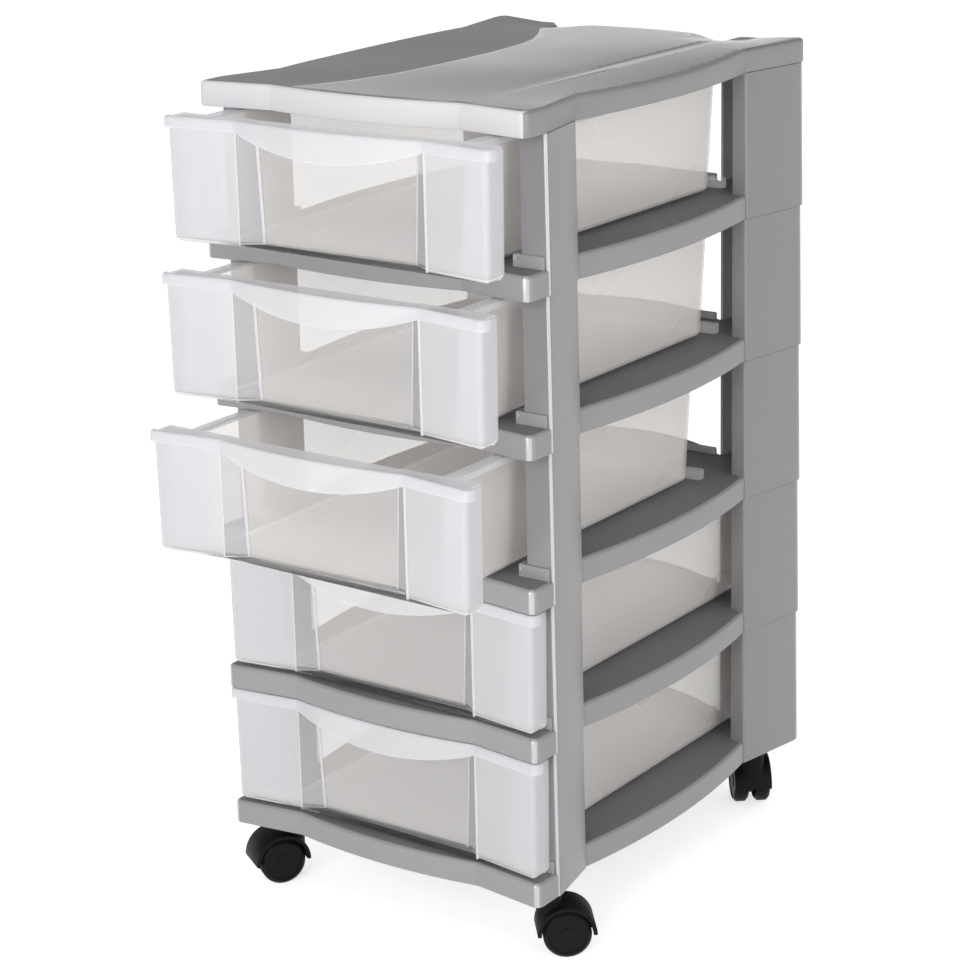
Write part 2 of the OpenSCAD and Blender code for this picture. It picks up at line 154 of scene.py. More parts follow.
def inside(p, ring, margin):
    """True if p lies within a closed line, at least margin from it."""
    crossings = 0
    for i, b in enumerate(ring):
        a = ring[i - 1]
        if (a.y > p.y) != (b.y > p.y) and p.x < a.x + (p.y - a.y) / (b.y - a.y) * (b.x - a.x):
            crossings += 1
    return crossings % 2 == 1 and distance(p, ring) >= margin


def both_halves(right):
    """Corners of the whole outline from those of its right half, front to back."""
    return right + [(-x, y, r) for x, y, r in reversed(right)]


def front_edge_y(x):
    """Y of the front outline at x."""
    if abs(x) > CREASE_X:
        return CREASE_Y * (HALF_W - abs(x)) / (HALF_W - CREASE_X)
    r = arc_radius(CREASE_X, CREASE_Y - BOW_Y)
    return BOW_Y + r - math.sqrt(r * r - x * x)


def front_bow(steps):
    """Corners along the right half of the front's bow, up to its crease."""
    bow = [(CREASE_X * s / steps, front_edge_y(CREASE_X * s / steps), 0) for s in range(1, steps)]
    return bow + [(CREASE_X, CREASE_Y, CREASE_R)]


def rail_x(y):
    """X of the outer side of the right rail at y."""
    r = arc_radius((REAR_Y - POST_BACK_Y) / 2, WAIST)
    return HALF_W - r + math.sqrt(r * r - (y - RAIL_Y) ** 2)


def back_edge_y(x):
    """Y of the back outline at x, between the rear posts."""
    r = arc_radius(REAR_IN_X, BODY_D - BOW_Y - LEG_Y)
    return BODY_D - BOW_Y - r + math.sqrt(r * r - x * x)


def level_plan(gap):
    """Outline of a level; its edge stands back by gap where the posts' skins hang in front of it."""
    front_end, rail_start, rail_end = POST_Y - POST_GAP, POST_BACK_Y + POST_GAP, REAR_Y - POST_GAP
    side_x, waist_x, leg_x = HALF_W - gap, HALF_W - WAIST - gap, REAR_IN_X + gap
    rear_r = REAR_CORNER_R - 3
    right = front_bow(BOW_STEPS) + [(HALF_W, 0, CORNER_R), (HALF_W, front_end, 0), (side_x, front_end, 0)]
    right += [(waist_x, rail_start, 0), (rail_x(rail_start), rail_start, 0)]
    for s in range(1, RAIL_STEPS):
        y = POST_BACK_Y + (REAR_Y - POST_BACK_Y) * s / RAIL_STEPS
        right.append((rail_x(y), y, 0))
    right += [(rail_x(rail_end), rail_end, 0), (waist_x, rail_end, 0), (side_x, REAR_SIDE_Y, 0)]
    right += [(side_x, BODY_D - gap, rear_r), (leg_x, BODY_D - gap, rear_r), (leg_x, LEG_Y + 1, 0)]
    for s in range(BOW_STEPS, 0, -1):
        x = REAR_IN_X * s / BOW_STEPS
        right.append((x, back_edge_y(x), 0))
    return fillet(both_halves(right))


def rounding(r, z, steps=4):
    """Profile (inset, z) of an outer edge rounded up to the level z."""
    turns = [math.pi / 2 * s / steps for s in range(steps + 1)]
    return [(r - r * math.cos(t), z - r + r * math.sin(t)) for t in turns]


# ---- meshes ----


def at(plan, z):
    """Points of a plan at the height z."""
    return [(p.x, p.y, z) for p in plan]


def loft(bm, loops, caps=True):
    """A body through closed loops of as many points, with flat ends. Its first faces are the bands."""
    rings = [[bm.verts.new(p) for p in loop] for loop in loops]
    for a, b in zip(rings, rings[1:]):
        for i in range(len(a)):
            j = (i + 1) % len(a)
            bm.faces.new((a[i], a[j], b[j], b[i]))
    if caps:
        bm.faces.new(rings[0])
        bm.faces.new(rings[-1])
    return rings


def bar(bm, x0, x1, y0, y1, z0, z1, r=0.5):
    """A straight block with rounded upright and upper edges."""
    lo_x, hi_x = min(x0, x1), max(x0, x1)
    plan = fillet([(lo_x, y0, r), (hi_x, y0, r), (hi_x, y1, r), (lo_x, y1, r)], 3)
    profile = [(0, z0)] + rounding(r, z1, 2) + [(r + 0.3, z1)]
    loft(bm, [at(inset(plan, d), z) for d, z in profile])


def finished(bm, name, sharp=38):
    """A mesh in metres in the row frame, smooth apart from its sharp edges."""
    bmesh.ops.recalc_face_normals(bm, faces=bm.faces)
    for face in bm.faces:
        face.smooth = True
    for edge in bm.edges:
        if len(edge.link_faces) != 2 or edge.calc_face_angle(0) > math.radians(sharp):
            edge.smooth = False
    bm.transform(Matrix.Translation((0, FRONT_Y * MM, 0)) @ Matrix.Scale(MM, 4))
    mesh = bpy.data.meshes.new(name)
    bm.to_mesh(mesh)
    bm.free()
    return mesh


def piece(name, mesh, finishes, body, node, place):
    """Adds a piece that stands for a CAD node: a mesh moved to its place, with its materials."""
    if not mesh.materials:
        for material in finishes:
            mesh.materials.append(material)
    obj = bpy.data.objects.new(name, mesh)
    bpy.context.scene.collection.objects.link(obj)
    obj.location = [v * MM for v in place]
    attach(obj, body)
    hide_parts(node)
    return obj


# ---- materials ----

CLOUD_SCALE = 9  # noise cells per metre
RUB = 0.12  # how far the roughness strays, as a share of it


def add(nodes, kind, **inputs):
    """A new node with the values of its inputs."""
    node = nodes.new(kind)
    for key, value in inputs.items():
        node.inputs[key.replace("_", " ")].default_value = value
    return node


def plastic(name, colour, roughness, mottle=0.03, **sockets):
    """Moulded plastic, whose colour and roughness drift over some ten centimetres."""
    material = bpy.data.materials.new(name)
    material.use_nodes = True
    nodes, links = material.node_tree.nodes, material.node_tree.links
    shader = nodes["Principled BSDF"]
    place = nodes.new("ShaderNodeTexCoord")
    cloud = add(nodes, "ShaderNodeTexNoise", Scale=CLOUD_SCALE, Detail=0.0)
    links.new(place.outputs["Object"], cloud.inputs["Vector"])
    tint = nodes.new("ShaderNodeMix")
    tint.data_type = "RGBA"
    tint.inputs["A"].default_value = [c * (1 - mottle) for c in colour] + [1]
    tint.inputs["B"].default_value = [min(1, c * (1 + mottle)) for c in colour] + [1]
    links.new(cloud.outputs["Fac"], tint.inputs["Factor"])
    links.new(tint.outputs["Result"], shader.inputs["Base Color"])
    rub = add(nodes, "ShaderNodeMapRange", From_Min=0.3, From_Max=0.7,
              To_Min=roughness * (1 - RUB), To_Max=roughness * (1 + RUB))
    links.new(cloud.outputs["Fac"], rub.inputs["Value"])
    links.new(rub.outputs["Result"], shader.inputs["Roughness"])
    for key, value in sockets.items():
        shader.inputs[key.replace("_", " ")].default_value = value
    return material


# silver-grey plastic
shelf_silver = plastic("shelf_silver", (0.34, 0.335, 0.344), 0.4, Metallic=0.1, Specular_IOR_Level=0.3)
# painted shade: a darker, rougher copy of the silver plastic for the levels' upper faces, standing in for
# the shade under the level above
shelf_top_painted_shade = plastic("shelf_top_painted_shade", (0.2, 0.196, 0.204), 0.55, Specular_IOR_Level=0.2)
post_silver = plastic("post_silver", (0.268, 0.264, 0.272), 0.3,
                      Metallic=0.1, Coat_Weight=0.3, Coat_Roughness=0.15)
# painted light: a much lighter copy of the post plastic for the inside of the rear posts' channels, standing
# in for light that reaches their shade
post_inner_painted_light = plastic("post_inner_painted_light", (0.6, 0.59, 0.6), 0.5)
# painted highlight: a lighter, more metallic copy of the silver plastic on the middle of rounded corners,
# standing in for the lamps' reflection there
silver_painted_highlight = plastic("silver_painted_highlight", (0.53, 0.525, 0.535), 0.3, Metallic=0.4)
lid_matte = plastic("lid_matte", (0.32, 0.316, 0.318), 0.5, Specular_IOR_Level=0.35)
lid_polished = plastic("lid_polished", (0.24, 0.236, 0.238), 0.18, Coat_Weight=0.35, Coat_Roughness=0.1)
# painted highlight: the lid's front lip is coloured far lighter than its sides, standing in for the lamp's
# reflection on it
lid_front_highlight = plastic("lid_front_highlight", (0.73, 0.72, 0.74), 0.5, Specular_IOR_Level=0.3)
lid_side = plastic("lid_side", (0.3, 0.296, 0.304), 0.36, Metallic=0.1)

# frosted plastic: every wall has two surfaces, so light passes through its alpha twice
FROST = (0.93, 0.91, 0.895)
frost_tray = plastic("frost_tray", (0.94, 0.905, 0.87), 0.3, 0.02, Alpha=0.38)
frost_floor = plastic("frost_floor", FROST, 0.35, 0.02, Alpha=0.9)
frost_block = plastic("frost_block", (0.69, 0.685, 0.71), 0.35, 0.02, Alpha=0.55)
frost_window = plastic("frost_window", FROST, 0.22, 0.02, Alpha=0.17)
frost_rim = plastic("frost_rim", (0.73, 0.725, 0.75), 0.32, 0.02, Alpha=0.55)
# painted highlight: a paler, more opaque frost for the thin raised lines and the band's lower edge, standing
# in for light caught on their edges
frost_painted_highlight = plastic("frost_painted_highlight", (0.85, 0.85, 0.87), 0.3, 0.01, Alpha=0.5)
# painted shade: a dark grey frost for the recess between each block and window, standing in for the shade in
# that groove
frost_recess_shade = plastic("frost_recess_shade", (0.5, 0.5, 0.53), 0.3, 0.02, Alpha=0.35)

# castors and buffers
buffer_grey = plastic("buffer_grey", (0.42, 0.42, 0.42), 0.4)
castor_black = plastic("castor_black", (0.007, 0.007, 0.008), 0.5, 0.2, Specular_IOR_Level=0.12)
wheel_black = plastic("wheel_black", (0.008, 0.008, 0.009), 0.5, 0.2, Specular_IOR_Level=0.12)
steel = plastic("steel", (0.6, 0.6, 0.61), 0.3, Metallic=1.0)

# ---- levels ----

# (inset, height) around the foot of a level's edge, from the plate's underside to the outer face
LIP_FOOT = [(LIP_T, UNDER_Z), (LIP_T, 0.5), (LIP_T - 0.5, 0), (0.6, 0), (0, 0.6)]
LIP_R = 2.6
ROOT = 1  # how far ribs, tabs and bars reach into the plate that carries them
RIB_H, RIB_T = 4, 2
RIB_FRONT_Y, RIB_BACK_Y = 12, LEG_Y - 4
CROSS_RIB_X = 130
TAB_H = 9.5  # height of the tabs before and beside the feet of the front posts
TAB_Y = POST_Y - 1.5
TAB_IN_X, TAB_GAP = POST_IN_X - 6.3, 0.2
REAR_BAR_X, REAR_BAR_Y = REAR_IN_X - 2, LEG_Y - 4.5
REAR_BAR_H, REAR_BAR_T, REAR_BAR_R = 6, 3, 1.2
LEVEL_SHADED_TOP, LEVEL_CORNER_HIGHLIGHT = 1, 2  # indices of a level's materials, with 0 for the rest
# where the painted highlight lies on a rounded front corner
HIGHLIGHT_MIDDLE, HIGHLIGHT_SPREAD = -58, 20  # bright part of a rounded front corner, in degrees


def on_corner_highlight(p):
    """True on the middle of a level's rounded front corners, where the painted highlight goes."""
    away = Vector((abs(p.x) - HALF_W + CORNER_R, p.y - corner_dip - CORNER_R))
    turn = math.degrees(math.atan2(away.y, away.x)) - HIGHLIGHT_MIDDLE
    return CORNER_R - 3 < away.length < CORNER_R + 0.5 and abs(turn) < HIGHLIGHT_SPREAD


def ribs_along(bm):
    """Ribs under a plate, from front to back."""
    for s in (-2, -1, 0, 1, 2):
        x = s * CREASE_X / 2
        bar(bm, x - RIB_T / 2, x + RIB_T / 2, RIB_FRONT_Y, RIB_BACK_Y, UNDER_Z - RIB_H, UNDER_Z + ROOT)


def level_mesh():
    bm = bmesh.new()
    plan = level_plan(SKIN_GAP)
    profile = LIP_FOOT + rounding(LIP_R, LIP_H) + [(LIP_R + 0.6, LIP_H)]
    loft(bm, [at(inset(plan, d), z) for d, z in profile])
    walls = len(bm.faces)
    ribs_along(bm)
    for s in (1, 2, 3, 4):
        y = s * BODY_D / 5
        bar(bm, -CROSS_RIB_X, CROSS_RIB_X, y, y + RIB_T, UNDER_Z - RIB_H, UNDER_Z + ROOT)
    tab_z = LIP_H - ROOT, LIP_H + TAB_H
    for side in SIDES.values():
        bar(bm, side * TAB_IN_X, side * (POST_IN_X - TAB_GAP), TAB_Y, POST_BACK_Y, *tab_z)
        bar(bm, side * (POST_IN_X - 1), side * (HALF_W - 3), TAB_Y, POST_Y - SKIN_CLEAR, *tab_z)
    rear_bar_z = LIP_H - ROOT, LIP_H + REAR_BAR_H
    bar(bm, -REAR_BAR_X, REAR_BAR_X, REAR_BAR_Y, REAR_BAR_Y + REAR_BAR_T, *rear_bar_z, REAR_BAR_R)
    bm.faces.ensure_lookup_table()
    # the upper faces take the darker copy with painted shade, and the middle of each rounded front corner
    # takes a painted highlight
    for face in bm.faces[:walls]:
        c = face.calc_center_median()
        if c.z > LIP_H - 0.01:
            face.material_index = LEVEL_SHADED_TOP
        elif on_corner_highlight(c) and face.normal.z < 0.8:
            face.material_index = LEVEL_CORNER_HIGHLIGHT
    return finished(bm, "level_moulding")


level = level_mesh()
level_finishes = [shelf_silver, shelf_top_painted_shade, silver_painted_highlight]
level_nodes = {f"level_{k}": f"shelf_{k}" for k in range(1, LEVELS)}
level_nodes["level_base"] = "base_shelf"
for k, (name, node) in enumerate(level_nodes.items(), 1):
    piece(name, level, level_finishes, "frame", node, (0, 0, level_z[k]))

# ---- posts ----

FLARE = 1.2  # how much further out a post's skin stands at its foot than at its head
FLARE_X, FLARE_Y = 10, 20  # widths over which the flare grows, outwards and backwards
POST_T = 2.2  # wall of a rear post
POST_EDGE_R = 0.8
POST_STEPS, POST_BANDS = 6, 8
SEAM = 0.4  # rounding at the foot and head of a post
# these faces of a front post's outer front corner carry the painted highlight
FRONT_HIGHLIGHT_STEPS = (8, 9, 10)  # faces of a front post's rounded outer front corner


def flared(x, y, z, side, rear):
    """A post's point, moved outwards towards the foot of the post."""
    out = FLARE * (1 - z / PITCH)
    x += out * min(1, max(0, (x - POST_IN_X) / FLARE_X))
    if rear:
        y += out * min(1, max(0, (y - LEG_Y) / FLARE_Y))
    return side * x, y, z


def rear_post_plan():
    """Outline of a rear post's wall, which is an open channel, and the number of its outer points."""
    leg_x, side_x, back_y, front_y = REAR_IN_X + POST_T, HALF_W - POST_T, BODY_D - POST_T, REAR_Y + POST_T
    outer = [(POST_IN_X, REAR_Y, POST_EDGE_R), (HALF_W - WAIST, REAR_Y, 2.5), (HALF_W, REAR_SIDE_Y, 0)]
    outer += [(HALF_W, BODY_D, REAR_CORNER_R), (REAR_IN_X, BODY_D, REAR_CORNER_R)]
    outer += [(REAR_IN_X, LEG_Y, POST_EDGE_R)]
    inner = [(leg_x, LEG_Y, POST_EDGE_R), (leg_x, back_y, REAR_CORNER_R - POST_T)]
    inner += [(side_x, back_y, REAR_CORNER_R - POST_T), (side_x, REAR_SIDE_Y, 0)]
    inner += [(HALF_W - WAIST - POST_T, front_y, POST_EDGE_R), (POST_IN_X, front_y, POST_EDGE_R)]
    return fillet(outer + inner, POST_STEPS), len(fillet(outer, POST_STEPS))


def front_post_plan():
    corners = [(POST_IN_X, POST_Y, 1.5), (HALF_W, POST_Y, 2.8)]
    corners += [(HALF_W - WAIST, POST_BACK_Y, 2.5), (POST_IN_X, POST_BACK_Y, 1.5)]
    return fillet(corners, POST_STEPS)


def post_mesh(rear, side):
    """A post's skin. The inside of a rear one is marked for painted light and the outer front corner of a
    front one for a painted highlight.
    """
    bm = bmesh.new()
    if rear:
        plan, outer_points = rear_post_plan()
        painted_light_faces = range(outer_points, len(plan) - 1)
    else:
        plan, painted_light_faces = front_post_plan(), FRONT_HIGHLIGHT_STEPS
    low, high = SKIN_CLEAR, PITCH - SKIN_CLEAR
    profile = [(SEAM, low), (0, low + SEAM)]
    profile += [(0, low + (high - low) * s / POST_BANDS) for s in range(1, POST_BANDS)]
    profile += [(0, high - SEAM), (SEAM, high)]
    loft(bm, [[flared(p.x, p.y, z, side, rear) for p in inset(plan, d)] for d, z in profile])
    bm.faces.ensure_lookup_table()
    for band in range(len(profile) - 1):
        for step in painted_light_faces:
            bm.faces[band * len(plan) + step].material_index = 1
    return finished(bm, "rear_post" if rear else "front_post")


for side_name, side in SIDES.items():
    for end in ENDS:
        rear = end == "rear"
        mesh = post_mesh(rear, side)
        # a rear post's inside is painted lighter, and a front post's outer front corner carries a painted
        # highlight
        post_finishes = [post_silver, post_inner_painted_light if rear else silver_painted_highlight]
        for k in range(1, LEVELS + 1):
            node = f"{end}_{side_name}_post_{k}"
            piece(f"{node}_shell", mesh, post_finishes, "frame", node, (0, 0, level_z[k]))

# ---- top cover ----

LID_R = 3
RAISED = lid_high.z - TOP_Z - LIP_H  # height of the polished panel above the lid
PANEL_RIGHT_X = HALF_W - 57
PANEL_TOP_X = 15  # where the panel's crown is highest
PANEL_FALL = 0.7  # share of its height that the panel has lost at its front left corner
PANEL_RISE = 8, 160  # the panel rises from so far behind the front edge, over so long
PANEL_STEP = 3  # width of the slope around the panel
PANEL_FRONT, PANEL_BACK = 11, 15  # how far the panel stands in from the front's and the back's bows
PANEL_R = 4
# left edge of the panel, from the front to the back
PANEL_EDGE = [(-70, 12), (-58, 32), (-46, 58), (-37, 95), (-32, 150),
              (-31, 210), (-36, 262), (-45, 296), (-60, 326), (-76, 352)]
SIDE_DROOP, BACK_DROOP, LOBE_DROOP = 2.4, 2.2, 4.5
SIDE_DROOP_X, SIDE_DROOP_Y = 60, 30  # where the droop towards the sides begins
BACK_DROOP_Y = 250  # where the droop towards the back begins
# a dip over each rear post: how far from the post's leg and sides it begins, and over what width it deepens
LOBE_LEG, LOBE_OUTER, LOBE_INNER = (30, 55), (8, 60), (40, 40)
GRID = 6  # spacing of the points of the lid's surface
LID_POLISHED, LID_FRONT_HIGHLIGHT, LID_SIDE = 1, 2, 3  # indices of the lid's materials, with 0 for its dull part


def droop(x, y):
    """How far the lid's surface lies below its corners, near its sides, its back and over the rear posts."""
    along = max(0, math.sin(math.pi * min(1, max(0, (y - SIDE_DROOP_Y) / (REAR_Y - SIDE_DROOP_Y)))))
    side = max(0, (abs(x) - SIDE_DROOP_X) / (HALF_W - SIDE_DROOP_X)) ** 2
    back = max(0, (y - BACK_DROOP_Y) / (BODY_D - BACK_DROOP_Y)) ** 1.5 * max(0, 1 - (x / REAR_IN_X) ** 2)
    lobe = smooth((y - LEG_Y + LOBE_LEG[0]) / LOBE_LEG[1])
    lobe *= smooth((HALF_W - LOBE_OUTER[0] - abs(x)) / LOBE_OUTER[1])
    lobe *= smooth((abs(x) - REAR_IN_X + LOBE_INNER[0]) / LOBE_INNER[1])
    return SIDE_DROOP * along * side + BACK_DROOP * back + LOBE_DROOP * lobe


def dome(x):
    """Height of the crowned panel at x, as a share of its greatest height."""
    if x < PANEL_TOP_X:
        return 1 - PANEL_FALL * ((PANEL_TOP_X - x) / (PANEL_TOP_X - PANEL_EDGE[0][0])) ** 2
    return 1 - ((x - PANEL_TOP_X) / (PANEL_RIGHT_X - PANEL_TOP_X)) ** 2


def crest_x(y):
    """X of the line between the dull left part of the lid and the polished rest."""
    if y <= PANEL_EDGE[0][1]:
        return PANEL_EDGE[0][0]
    for (x0, y0), (x1, y1) in zip(PANEL_EDGE, PANEL_EDGE[1:]):
        if y <= y1:
            return x0 + (x1 - x0) * (y - y0) / (y1 - y0)
    return PANEL_EDGE[-1][0]


def panel_plan():
    """Outline of the raised panel: its left edge from the back, its front, its right edge and its back."""
    left = [(x, y, 0) for x, y in PANEL_EDGE]
    left[0], left[-1] = (*PANEL_EDGE[0], PANEL_R), (*PANEL_EDGE[-1], PANEL_R)
    front = [(x, front_edge_y(x) + PANEL_FRONT, 0) for x in (-55, -40, -20, 0, 20, 40, 60, 80)]
    right = [(PANEL_RIGHT_X, 22, PANEL_R), (PANEL_RIGHT_X, LEG_Y - 14, PANEL_R)]
    back = [(x, back_edge_y(x) - PANEL_BACK, 0) for x in (75, 50, 25, 0, -25, -50)]
    return fillet(left[::-1] + front + right + back, 4)


def lid_mesh():
    bm = bmesh.new()
    plan = level_plan(0)
    loops = [at(inset(plan, d), z) for d, z in LIP_FOOT]
    for d, z in rounding(LID_R, LIP_H):
        loops.append([(p.x, p.y, z - droop(p.x, p.y)) for p in inset(plan, d)])
    rings = loft(bm, loops, caps=False)
    walls = len(bm.faces)
    bm.faces.new(rings[0])

    # the upper surface: points within the edge, and lines along the panel's outline and its slope
    edge, panel = inset(plan, LID_R), panel_plan()
    slope = inset(panel, PANEL_STEP)
    points, lines = [], []
    for ring in (edge, panel, slope):
        first = len(points)
        points += ring
        lines += [(first + i, first + (i + 1) % len(ring)) for i in range(len(ring))]
    columns = int(HALF_W / GRID)
    for row in range(1, int(BODY_D / GRID)):
        for column in range(-columns, columns + 1):
            p = Vector((column * GRID + (row % 2) * GRID / 2, row * GRID))
            if inside(p, edge, 2) and all(distance(p, ring) > 1.6 for ring in (panel, slope)):
                points.append(p)
    verts, _, faces, *_ = delaunay_2d_cdt(points, lines, [list(range(len(edge)))], 1, 1e-4)
    made = list(rings[-1])
    start, length = PANEL_RISE
    for v in verts[len(edge):]:
        rise = smooth((v.y - front_edge_y(v.x) - start) / length)
        raised = RAISED * dome(v.x) * rise if inside(v, panel, 0.01) else 0
        made.append(bm.verts.new((v.x, v.y, LIP_H + raised - droop(v.x, v.y))))
    for f in faces:
        face = bm.faces.new([made[i] for i in f])
        middle = face.calc_center_median()
        if middle.x > crest_x(middle.y):
            face.material_index = LID_POLISHED

    ribs_along(bm)
    bm.faces.ensure_lookup_table()
    for face in bm.faces[:walls]:
        c = face.calc_center_median()
        # the front faces take the lighter colour with the painted highlight, the other walls the plain side
        # finish
        face.material_index = LID_FRONT_HIGHLIGHT if c.y < CREASE_Y + 3 and abs(c.x) < HALF_W - 2.5 else LID_SIDE
    return finished(bm, "lid", 50)


lid_finishes = [lid_matte, lid_polished, lid_front_highlight, lid_side]
piece("lid", lid_mesh(), lid_finishes, "frame", "top_cover", (0, 0, TOP_Z))

# ---- drawers, with the level's floor at z = 0 and the drawer closed ----

LOW_Z = 2.2
RIM_Z = PITCH - LIP_H - 1.2
WALL_T, FLOOR_R = 2, 5
WALL_HEIGHTS = (0.2, 0.4, 0.6, 0.8, 1)
BAND_H = 8.8
BAND_STEPS = 14
APRON_H = 23.6
BAND_PROUD = 1.5  # how far the band stands out before the walls
EAR_Y = 9  # how far back the band's ears reach
WINDOW_X, WINDOW_Y = 70, 20
WINDOW_FLARE = 4  # how much further from the middle a window's side stands at its rim
BLOCK_X, BLOCK_BACK_Y = HALF_W - 4, 23.5
TRAY_X, TRAY_DRAFT = 114, 6
TRAY_BACK_Y = drawer_high.y - drawer_low.y + corner_dip
RIM_DROP = 2.1  # how far the walls end below the rim, under the ledge and the flanges
RIM_RISE = 8, 4  # they rise to it again from so far before the tray's back, over so long
FLANGE_X, FLANGE_T, FLANGE_H = 124, 2, 5
HIGHLIGHT_R, FAINT_HIGHLIGHT_R = 1.1, 0.5
RUNNER_X = TRAY_X - TRAY_DRAFT - 27
RUNNER_HALF_T = 1.5
# indices of a drawer's materials, with 0 for its tray
BLOCK, WINDOW, RIM, HIGHLIGHT, RECESS_SHADE, FLOOR = range(1, 7)

# (inset, height) around the band's section: from its lower edge, from the rim, and from the lower edge again
BAND_LOW = [(0.1, 0.5), (0, 1.2)]
BAND_RIM = [(0, -2), (0.6, -0.6), (1.6, 0), (2.6, -0.6), (2.6, -2)]
BAND_BACK = [(2.2, 2.4), (2.6, 1.4), (2.4, 0.4), (1.2, 0)]


def drawer_plan(t):
    """Plan of the outer faces of a drawer's walls, at t from its floor to its rim."""
    window_x, side_x = WINDOW_X + WINDOW_FLARE * t, TRAY_X - TRAY_DRAFT * (1 - t)
    block_x = BLOCK_X - 1 + t
    right = [(window_x, WINDOW_Y, 2), (CREASE_X, CREASE_Y + BAND_PROUD, 1.6)]
    right += [(block_x, front_edge_y(block_x) + BAND_PROUD, 4.5)]
    right += [(block_x, BLOCK_BACK_Y, 2), (side_x, BLOCK_BACK_Y, 2), (side_x, TRAY_BACK_Y, 8)]
    return fillet(both_halves(right))


def rim_z(y):
    """Height of a wall's top at y."""
    start, length = RIM_RISE
    return RIM_Z - RIM_DROP * (1 - smooth((y - TRAY_BACK_Y + start) / length))


def drawer_walls(bm):
    """The floor and the walls: up on the outside, and down again on the inside."""
    low = LOW_Z + FLOOR_R
    loops = []
    for d, z in reversed(rounding(FLOOR_R, -LOW_Z)):
        loops.append([(p.x, p.y, -z) for p in inset(drawer_plan(0), d)])
    for t in WALL_HEIGHTS:
        loops.append([(p.x, p.y, low + (rim_z(p.y) - low) * t) for p in drawer_plan(t)])
    for t in reversed((0, *WALL_HEIGHTS)):
        loops.append([(p.x, p.y, low + (rim_z(p.y) - low) * t) for p in inset(drawer_plan(t), WALL_T)])
    for d, z in rounding(FLOOR_R - WALL_T, -LOW_Z - WALL_T)[1:]:
        loops.append([(p.x, p.y, -z) for p in inset(drawer_plan(0), WALL_T + d)])
    loft(bm, loops)


def apron_depth(x):
    """Depth of the front's upper band at x: plain on the blocks, and an arc for the pull between them."""
    if abs(x) >= CREASE_X:
        return BAND_H
    r = arc_radius(CREASE_X, APRON_H - BAND_H)
    return APRON_H - r + math.sqrt(r * r - x * x)


def drawer_band(bm):
    """The upper band, from ear to ear: a bead along its lower edge and a rounded upper edge."""
    right = front_bow(BAND_STEPS) + [(HALF_W, 0, CORNER_R), (HALF_W, EAR_Y, 2), (HALF_W - 8, 60, 0)]
    plan = fillet(both_halves(right))
    last_right = max(i for i, p in enumerate(plan) if p.x > 0 and p.y <= EAR_Y + 0.01)
    first_left = min(i for i, p in enumerate(plan) if p.x < 0 and p.y <= EAR_Y + 0.01)
    drawn = {d: inset(plan, d) for d, _ in BAND_LOW + BAND_RIM + BAND_BACK}
    loops = []
    for i in [*range(first_left, len(plan)), *range(last_right + 1)]:
        low = RIM_Z - apron_depth(plan[i].x)
        around = [(d, low + v) for d, v in BAND_LOW] + [(d, RIM_Z + v) for d, v in BAND_RIM]
        around += [(d, low + v) for d, v in BAND_BACK]
        loops.append([(drawn[d][i].x, drawn[d][i].y, z) for d, z in around])
    loft(bm, loops)


def highlight_line(bm, foot, head, r):
    """A thin raised line between two points of a wall, put there to carry a painted highlight."""
    turns = [math.pi / 3 * s for s in range(6)]
    loft(bm, [[(x + r * math.cos(t), y + r * math.sin(t), z) for t in turns] for x, y, z in (foot, head)])


def drawer_ledge(bm):
    """The flat top behind the band."""
    ear_x = HALF_W - 1
    right = front_bow(BAND_STEPS) + [(ear_x, 0.3, 5), (ear_x, EAR_Y - 0.5, 2), (BLOCK_X, EAR_Y + 0.5, 1)]
    right += [(BLOCK_X, BLOCK_BACK_Y, 2), (CREASE_X - 6, BLOCK_BACK_Y, 2), (CREASE_X - 12, WINDOW_Y + 2, 2)]
    plan = inset(fillet(both_halves(right)), 1)
    profile = [(0, -2), (0, -0.4), (0.4, -0.05), (0.8, -0.05)]
    loft(bm, [at(inset(plan, d), RIM_Z + z) for d, z in profile])


def drawer_flange(bm, side):
    """The flange along a tray's side, with its down-turned edge."""
    x0, x1 = TRAY_X, FLANGE_X
    section = [(x0 - 2, -0.4), (x0 - 1.6, 0), (x1 - 1, 0), (x1 - 0.3, -0.3), (x1, -1), (x1, -FLANGE_H)]
    section += [(x1 - 1.6, -FLANGE_H), (x1 - 1.8, -2.4), (x1 - 2.4, -FLANGE_T), (x0 - 1.6, -FLANGE_T)]
    loft(bm, [[(side * x, y, RIM_Z + z) for x, z in section] for y in (BLOCK_BACK_Y - 1.2, TRAY_BACK_Y)])


def wall_finish(c):
    """Index of the material for a face of the floor or the walls with its middle at c."""
    x = abs(c.x)
    if c.z < LOW_Z + 3:
        return FLOOR
    if x < WINDOW_X and c.y < WINDOW_Y + 4:
        return WINDOW
    # painted shade in the recess between the window and the crease
    if WINDOW_X <= x < CREASE_X and CREASE_Y + 1.8 < c.y < WINDOW_Y + 4:
        return RECESS_SHADE
    if x >= WINDOW_X and c.y < BLOCK_BACK_Y + 0.5:
        return BLOCK
    return 0


